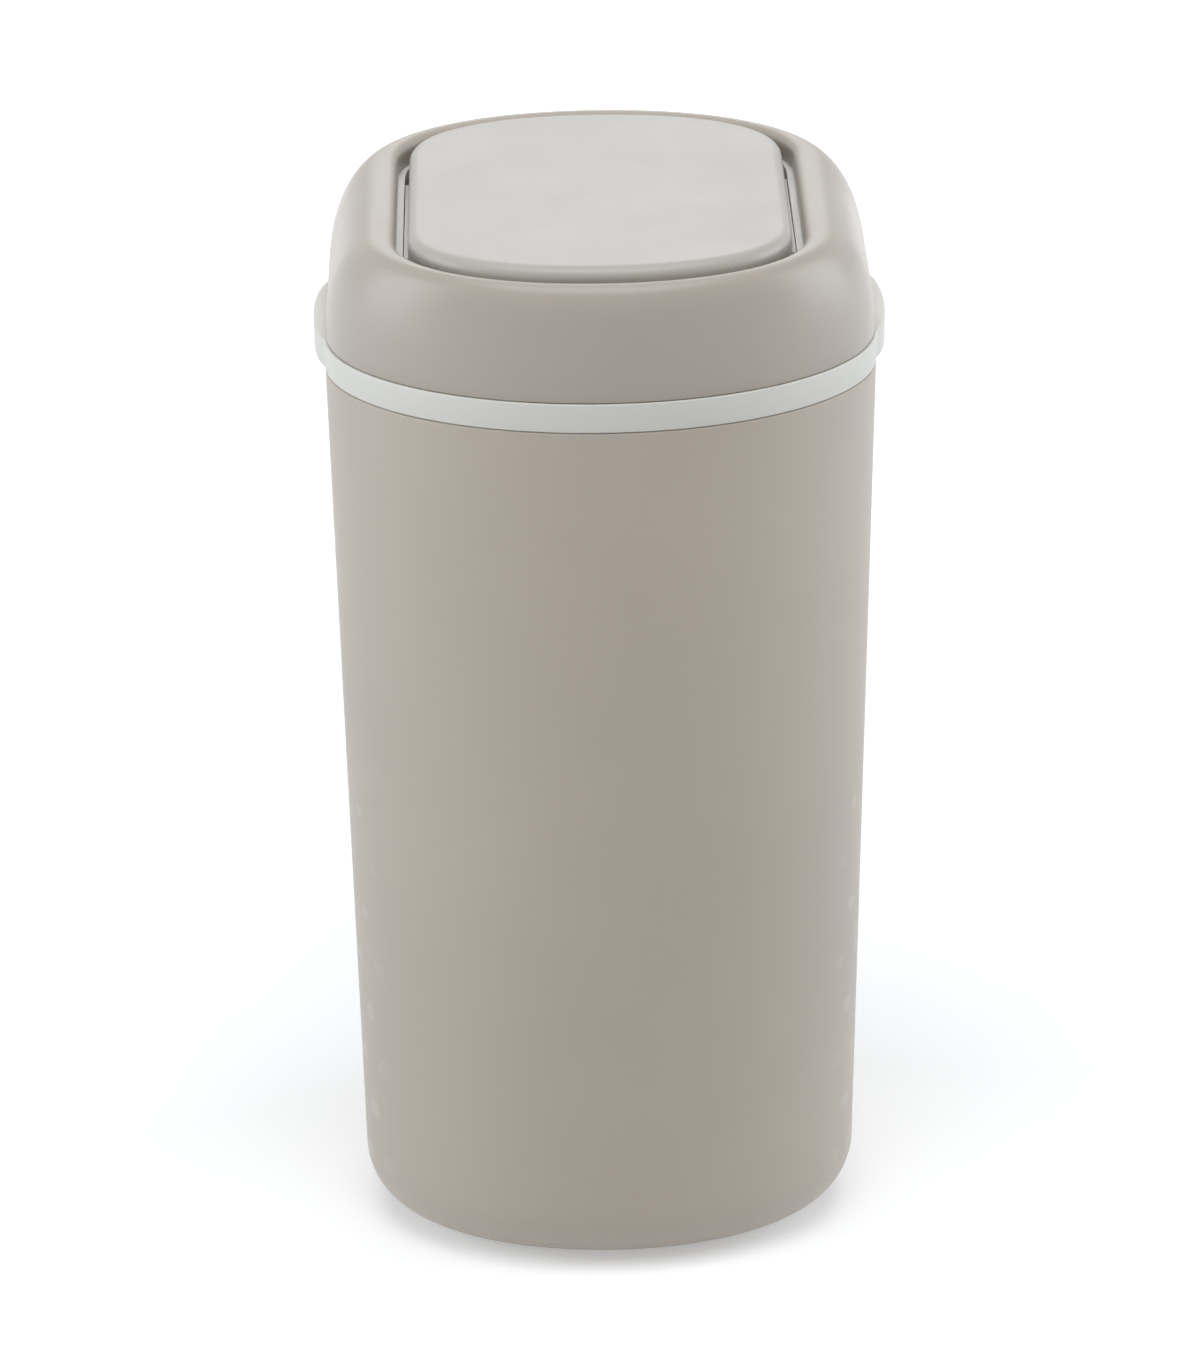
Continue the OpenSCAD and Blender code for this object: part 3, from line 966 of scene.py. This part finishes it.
def screw_boss(place: tuple[float, float], levels: tuple[float, float], radius: float) -> Piece:
    """Models a round boss with a blind hole from below.

    Args:
        place: Its axis in plan, in millimetres.
        levels: Its foot and its top in millimetres.
        radius: Its radius in millimetres.

    Returns:
        The boss.
    """
    sides = 40
    bore = 1.3
    bore_depth = 8.4
    lead_in = 0.3
    low, top = levels
    boss = cylinder(Vector(place) * MM, (low * MM, top * MM), radius * MM, sides)
    bpy.ops.object.mode_set(mode="EDIT")
    select_faces(boss, looks_down)
    bpy.ops.mesh.inset(thickness=lead_in * MM)
    bpy.ops.mesh.inset(thickness=(radius - lead_in - bore) * MM)
    bpy.ops.mesh.extrude_region_move(TRANSFORM_OT_translate={"value": (0, 0, bore_depth * MM)})
    bpy.ops.object.mode_set(mode="OBJECT")
    return boss


@dataclass
class Lid:
    """The domed lid with its turned-down lip, its skirt and seal, and the frame that carries the flap."""

    stature: Stature
    seam: float = 0.35
    rim_in: float = 0.8
    wall: float = 2.4
    squareness: float = 2.35
    slope: float = 0.016
    lip_round: float = 4.4
    lip_depth: float = 10.2
    lip_edge: float = 0.4
    dome_to_lip: float = 0.2
    spigot_in: float = 12.6
    spigot_wall: float = 2.4
    spigot_rise: float = 3.0
    spigot_round: float = 0.7
    spigot_root: float = 0.5
    web_in: float = 3.3
    web_wall: float = 2.2
    skirt_rise: float = 2.85

    RIM_EDGE = ((0.5, 0.0), (0.12, 0.12), (0.0, 0.5))
    OUTER_LEVELS = range(4, 91, 2)
    LIP_LEVELS = range(10, 91, 10)
    INNER_LEVELS = range(88, 3, -4)
    SEAL_INSETS = (6.5, 9.5)
    BOSSES = ((96.0, 36.0), (-96.0, 36.0), (96.0, -36.0), (-96.0, -36.0), (0.0, 108.7), (0.0, -108.7))
    BOSS_RADIUS = 3.5
    EASED = (
        ("lid_frame", 0.35, Slot.GREY),
        ("pivot_bracket_left", 0.5, Slot.GREY),
        ("pivot_bush_left", 0.2, Slot.ACETAL),
        ("pivot_bracket_right", 0.5, Slot.GREY),
        ("pivot_bush_right", 0.2, Slot.ACETAL),
        ("rest_pads", 0.3, Slot.RUBBER),
    )
    SCREWS = (("frame_screws", True), ("bracket_screws", True))

    def dome(self, outer: bool, angle: float) -> Ring:
        """Gives one level of the dome.

        Args:
            outer: True for the outside, and False for the inside.
            angle: How far up the dome the level lies, 0 to 90 degrees.

        Returns:
            The level's points.
        """
        thick = 0.0 if outer else self.wall
        base = self.stature.body(self.rim_in + thick).ring(0)
        crown = self.stature.opening(self.lip_round if outer else self.wall + self.dome_to_lip).ring(0)
        share = 1 - math.cos(math.radians(angle)) ** (2 / self.squareness)
        rise = math.sin(math.radians(angle)) ** (2 / self.squareness)
        height = self.stature.lip - self.stature.band_top - thick
        ring = []
        for low, high in zip(base, crown):
            spot = low.lerp(high, share)
            spot.z = self.stature.band_top * MM + (height * MM + self.slope * spot.y) * rise
            ring.append(spot)
        return ring

    def lip_curve(self, angle: float) -> Ring:
        """Gives a level of the lip's rounded crest, 0 to 90 degrees round it."""
        turn = math.radians(angle)
        return self.lip_ring(self.lip_round * (1 - math.sin(turn)), self.lip_round * (1 - math.cos(turn)))

    def lip_ring(self, out: float, drop: float) -> Ring:
        """Gives a level of the sloping lip, so far outside the opening and below its crest."""
        ring = self.stature.opening(out).ring(self.stature.lip - drop)
        return [Vector((p.x, p.y, p.z + self.slope * p.y)) for p in ring]

    def shell(self) -> Piece:
        """Models the dome, its lip and its inside as one shell."""
        rim_z = self.stature.band_top + self.seam
        outside = self.stature.body(self.rim_in)
        rings = [outside.inset(inset).ring(rim_z + rise) for inset, rise in self.RIM_EDGE]
        rings += [self.dome(True, angle) for angle in self.OUTER_LEVELS]
        rings += [self.lip_curve(angle) for angle in self.LIP_LEVELS]
        rings.append(self.lip_ring(0, self.lip_depth - self.lip_edge))
        rings.append(self.lip_ring(self.lip_edge, self.lip_depth))
        rings.append(self.lip_ring(self.wall, self.lip_depth))
        rings += [self.dome(False, angle) for angle in self.INNER_LEVELS]
        rings.append(outside.inset(self.wall).ring(rim_z))
        return joined([loft(rings, looped=True)] + [self.boss(x, y) for x, y in self.BOSSES])

    def boss(self, x: float, y: float) -> Piece:
        """Models a screw boss that hangs from the dome down to the frame.

        Args:
            x: Its place to the right, in millimetres.
            y: Its place to the back, in millimetres.

        Returns:
            The boss.
        """
        base = self.stature.body(self.rim_in)
        crown = self.stature.opening(self.lip_round)
        rim, edge, spot = (base.wide, crown.wide, abs(x)) if x else (base.deep, crown.deep, abs(y))
        share = (rim - spot - self.BOSS_RADIUS) / (rim - edge)
        rise = (1 - (1 - share) ** self.squareness) ** (1 / self.squareness)
        height = self.stature.lip - self.stature.band_top + self.slope * y
        top = self.stature.band_top + height * rise - self.wall / 2
        low = self.stature.lip - self.lip_depth + BOSS_GAP + self.slope * (y + self.BOSS_RADIUS)
        return screw_boss((x, y), (low, top), self.BOSS_RADIUS)

    def skirt(self) -> Piece:
        """Models the skirt under the lid that locates it in the bag ring."""
        top = self.stature.band_top + self.skirt_rise
        low = self.stature.shoulder + self.spigot_rise
        spigot_inner = self.spigot_in + self.spigot_wall
        corners = [
            Corner(self.web_in, top - self.web_wall),
            Corner(self.spigot_in, top - self.web_wall, self.spigot_root),
            Corner(self.spigot_in, low, self.spigot_round),
            Corner(spigot_inner, low, self.spigot_round),
            Corner(spigot_inner, top, self.spigot_round),
            Corner(self.web_in, top),
        ]
        return lathe_of(self.stature.body(), corners, looped=True, chord=FINE_CHORD)

    def build(self, bench: Bench) -> None:
        """Models the lid's pieces.

        Args:
            bench: Where the pieces are finished.
        """
        bench.seat(self.shell(), "lid_shell", Body.LID, Slot.TAUPE)
        bench.seat(self.skirt(), "lid_skirt", Body.LID, Slot.GREY)
        gasket = seal(self.stature.body(), self.SEAL_INSETS, levels_of("lid_seal"))
        bench.seat(gasket, "lid_seal", Body.LID, Slot.RUBBER)
        bench.ease(Body.LID, self.EASED)
        bench.screw_down(Body.LID, self.SCREWS)


@dataclass
class Flap:
    """The pad-like flap: its cover, its tray with the pivot pins, its seal and its counterweight."""

    stature: Stature
    top: float = 22.0
    low: float = 9.1
    edge_round: float = 5.2
    wall: float = 2.2
    foot_edge: float = 0.4
    roof_reach: float = 3.0
    ceiling_reach: float = 4.0
    chord: float = 1.0
    tilt: float = math.radians(0.3)

    SEAL_INSETS = (2.0, 5.0)
    SEAL_DROPS = (4.0, 2.2)
    BOSSES = ((62.0, 48.0), (-62.0, 48.0), (62.0, -48.0), (-62.0, -48.0), (0.0, 90.0), (0.0, -88.0))
    BOSS_RADIUS = 3.6
    TRAY = (("flap_tray", 0.4, Slot.GREY),)
    METALWORK = (
        ("pivot_pin_left", 0.2, Slot.STEEL),
        ("pivot_pin_right", 0.2, Slot.STEEL),
        ("counterweight", 0.8, Slot.STEEL),
        ("weight_clamps", 0.2, Slot.STEEL),
    )
    SCREWS = (("flap_screws", True), ("clamp_screws", False))

    def cover(self) -> Piece:
        """Models the cover as a thick-edged cap, drawn round the pivot line and then raised to it."""
        ceiling = self.top - self.wall
        inner_round = self.edge_round - self.wall
        corners = [
            Corner(self.edge_round + self.ceiling_reach, ceiling),
            Corner(self.wall, ceiling, inner_round),
            Corner(self.wall, self.low),
            Corner(0, self.low, self.foot_edge),
            Corner(0, self.top, self.edge_round),
            Corner(self.edge_round + self.roof_reach, self.top),
        ]
        cap = lathe_of(self.stature.flap(), corners, looped=False, chord=self.chord)
        levels = (self.low + BOSS_GAP, self.top - self.wall / 2)
        cap = joined([cap] + [screw_boss(place, levels, self.BOSS_RADIUS) for place in self.BOSSES])
        stand_at(cap, self.stature.pivot, self.tilt)
        return cap

    def build(self, bench: Bench) -> None:
        """Models the flap's pieces.

        Args:
            bench: Where the pieces are finished.
        """
        bench.seat(self.cover(), "flap_cover", Body.FLAP, Slot.TAUPE, bench.paints.greyer)
        bench.ease(Body.FLAP, self.TRAY)
        low, high = (self.low - drop for drop in self.SEAL_DROPS)
        gasket = seal(self.stature.flap(), self.SEAL_INSETS, (low, high))
        stand_at(gasket, self.stature.pivot, self.tilt)
        bench.seat(gasket, "flap_seal", Body.FLAP, Slot.RUBBER)
        bench.ease(Body.FLAP, self.METALWORK)
        bench.screw_down(Body.FLAP, self.SCREWS)


@dataclass(frozen=True)
class PanScrew:
    """A pan-head screw with a cross recess, in millimetres."""

    head_radius: float = 2.6
    head_height: float = 1.8
    head_round: float = 0.8
    shank_radius: float = 1.3
    slot_width: float = 0.7
    slot_length: float = 3.0
    slot_depth: float = 0.9

    SIDES = 32
    TURN_STEP = 0.7

    def one(self, length: float) -> Piece:
        """Models one screw that stands on its tip at the origin, head up.

        Args:
            length: Whole length in metres.

        Returns:
            The screw.
        """
        head_low = length - self.head_height * MM
        head = cylinder((0, 0), (head_low, length), self.head_radius * MM, self.SIDES)
        bpy.ops.object.mode_set(mode="EDIT")
        select_faces(head, lambda face: face.normal.z > LEVEL)
        bpy.ops.mesh.bevel(offset=self.head_round * MM, segments=EDGE_STEPS)
        select_faces(head, looks_down)
        bpy.ops.mesh.inset(thickness=(self.head_radius - self.shank_radius) * MM)
        bpy.ops.mesh.extrude_region_move(TRANSFORM_OT_translate={"value": (0, 0, -head_low)})
        bpy.ops.object.mode_set(mode="OBJECT")
        for turn in (0.0, math.pi / 2):
            self.cut_slot(head, length, turn)
        return head

    def cut_slot(self, head: Piece, top: float, turn: float) -> None:
        """Cuts one arm of the cross recess.

        Args:
            head: The screw.
            top: Height of the head's top in metres.
            turn: Direction of the arm in radians.
        """
        start_fresh()
        bpy.ops.mesh.primitive_cube_add(size=1, location=(0, 0, top))
        cutter = bpy.context.object
        cutter.scale = (self.slot_length * MM, self.slot_width * MM, 2 * self.slot_depth * MM)
        cutter.rotation_euler.z = turn
        bpy.ops.object.transform_apply()
        carve(head, cutter)

    def row(self, node: str, head_down: bool) -> Piece:
        """Sets a screw in the place of each one of a node.

        Args:
            node: The screws' node.
            head_down: Whether the heads face down.

        Returns:
            All the screws as one piece.
        """
        boxes = islands(node)
        pattern = self.one(min(high.z - low.z for low, high in boxes))
        screws = []
        for index, (low, high) in enumerate(boxes):
            pick(pattern)
            bpy.ops.object.duplicate()
            screw = bpy.context.object
            screw.location = ((low.x + high.x) / 2, (low.y + high.y) / 2, high.z if head_down else low.z)
            screw.rotation_euler = (math.pi if head_down else 0.0, 0.0, self.TURN_STEP * index)
            bpy.ops.object.transform_apply()
            screws.append(screw)
        bpy.data.objects.remove(pattern)
        return joined(screws)


def carve(piece: Piece, cutter: Piece) -> None:
    """Cuts one solid out of another, and removes the cutter.

    Args:
        piece: The solid that is cut.
        cutter: The solid that is taken away.
    """
    pick(piece)
    cut = piece.modifiers.new("cut", "BOOLEAN")
    cut.operation = "DIFFERENCE"
    cut.solver = "EXACT"
    cut.object = cutter
    bpy.ops.object.modifier_apply(modifier=cut.name)
    bpy.data.objects.remove(cutter)


# ---------------------------------------------------------------- studio


NEUTRAL = (0.97, 0.985, 1.0)
COOL = (0.86, 0.92, 1.0)


@dataclass(frozen=True)
class Softbox:
    """A rectangular studio light: its place and size in metres, its power in watts and its tint."""

    name: str
    place: tuple[float, float, float]
    width: float
    height: float
    power: float
    tint: tuple[float, float, float] = NEUTRAL

    def stand(self, target: Vector) -> None:
        """Sets the light up, facing a point.

        Args:
            target: The point that it faces.
        """
        lamp = bpy.data.lights.new(self.name, "AREA")
        lamp.shape = "RECTANGLE"
        lamp.size, lamp.size_y, lamp.energy = self.width, self.height, self.power
        lamp.color = self.tint
        holder = bpy.data.objects.new(self.name, lamp)
        holder.location = self.place
        holder.rotation_euler = (target - Vector(self.place)).to_track_quat("-Z", "Y").to_euler()
        bpy.context.scene.collection.objects.link(holder)


@dataclass
class Studio:
    """White studio with a pale floor, and the camera at the photograph's place."""

    distance: float = 2.8626
    target_height: float = 0.2062
    elevation: float = 0.43027
    yaw: float = 0.014898
    roll: float = -0.011389
    focal_px: float = 6302.56
    centre_px: tuple[float, float] = (604.217, 759.949)
    picture_px: tuple[int, int] = (1200, 1365)
    sensor: float = 36.0
    world_light: float = 0.08
    floor_size: float = 12.0
    floor_grey: float = 0.82
    floor_lift: float = 0.35
    lift_from: float = 0.6
    lift_full: float = 2.2

    SOFTBOXES = (
        Softbox("softbox_top", (0.0, 0.0, 5.0), 4.0, 4.0, 60.0),
        Softbox("softbox_front", (0.0, -1.9, 4.8), 4.0, 3.2, 104.0),
        Softbox("softbox_brow", (0.0, -3.6, 1.7), 4.6, 0.6, 8.0),
        Softbox("softbox_back", (0.0, 4.0, 2.5), 2.4, 2.0, 22.0),
        Softbox("softbox_left", (-3.3, -0.6, 1.2), 2.4, 2.4, 60.0, COOL),
        Softbox("softbox_right", (3.3, 0.2, 1.2), 2.4, 2.4, 60.0, COOL),
    )

    def build(self) -> None:
        """Sets up floor, world, lights and camera."""
        self.floor()
        self.world()
        for softbox in self.SOFTBOXES:
            softbox.stand(Vector((0, 0, self.target_height)))
        self.camera()

    def floor(self) -> None:
        """Lays the pale floor, which keeps the shadow near the bin and shows white further off."""
        start_fresh()
        bpy.ops.mesh.primitive_plane_add(size=self.floor_size)
        floor = bpy.context.object
        floor.name = "studio_floor"
        material = bpy.data.materials.new("studio_floor")
        board = NodeBoard(material)
        board.tree.nodes.clear()
        grey = self.floor_grey
        paper = board.add("ShaderNodeBsdfDiffuse", Color=(grey, grey, grey, 1))
        away = board.add("ShaderNodeVectorMath")
        away.operation = "LENGTH"
        board.feed(away.inputs[0], board.add("ShaderNodeTexCoord").outputs["Object"])
        reach = {"From_Min": self.lift_from, "From_Max": self.lift_full, "To_Min": self.floor_lift}
        lift = board.add("ShaderNodeMapRange", Value=away.outputs["Value"], **reach)
        strength = board.math("MULTIPLY", board.seen_directly(), lift.outputs["Result"])
        glow = board.add("ShaderNodeEmission", Strength=strength)
        both = board.add("ShaderNodeAddShader")
        board.feed(both.inputs[0], paper.outputs[0])
        board.feed(both.inputs[1], glow.outputs[0])
        board.add("ShaderNodeOutputMaterial", Surface=both.outputs[0])
        floor.data.materials.append(material)

    def world(self) -> None:
        """Lights the studio evenly, and shows it white."""
        world = bpy.data.worlds.new("studio_white")
        bpy.context.scene.world = world
        board = NodeBoard(world)
        board.tree.nodes.clear()
        strength = board.add("ShaderNodeMapRange", Value=board.seen_directly(), To_Min=self.world_light)
        sky = board.add("ShaderNodeBackground", Color=(1, 1, 1, 1), Strength=strength.outputs["Result"])
        board.add("ShaderNodeOutputWorld", Surface=sky.outputs[0])

    def camera(self) -> None:
        """Stands the camera where the photograph was taken from."""
        forward = Vector((
            math.cos(self.elevation) * math.sin(self.yaw),
            math.cos(self.elevation) * math.cos(self.yaw),
            -math.sin(self.elevation),
        ))
        level = Vector((math.cos(self.yaw), -math.sin(self.yaw), 0))
        above = level.cross(forward)
        right = level * math.cos(self.roll) + above * math.sin(self.roll)
        up = above * math.cos(self.roll) - level * math.sin(self.roll)
        data = bpy.data.cameras.new("camera")
        wide, tall = self.picture_px
        data.sensor_width = self.sensor
        data.lens = self.focal_px * self.sensor / tall
        data.shift_x = (wide / 2 - self.centre_px[0]) / tall
        data.shift_y = (self.centre_px[1] - tall / 2) / tall
        holder = bpy.data.objects.new("camera", data)
        place = Vector((0, 0, self.target_height)) - forward * self.distance
        turn = Matrix((right, up, -forward)).transposed().to_4x4()
        holder.matrix_world = Matrix.Translation(place) @ turn
        bpy.context.scene.collection.objects.link(holder)
        bpy.context.scene.camera = holder
        bpy.context.scene.view_settings.view_transform = "Standard"


def main() -> None:
    """Builds the bin and its studio."""
    logging.basicConfig(level=logging.INFO, format="%(message)s")
    stature = Stature.read()
    bench = Bench(Paintbox())
    for assembly in (Tub(stature), BagRing(stature), Lid(stature), Flap(stature)):
        assembly.build(bench)
    Studio().build()


if __name__ == "__main__":
    main()
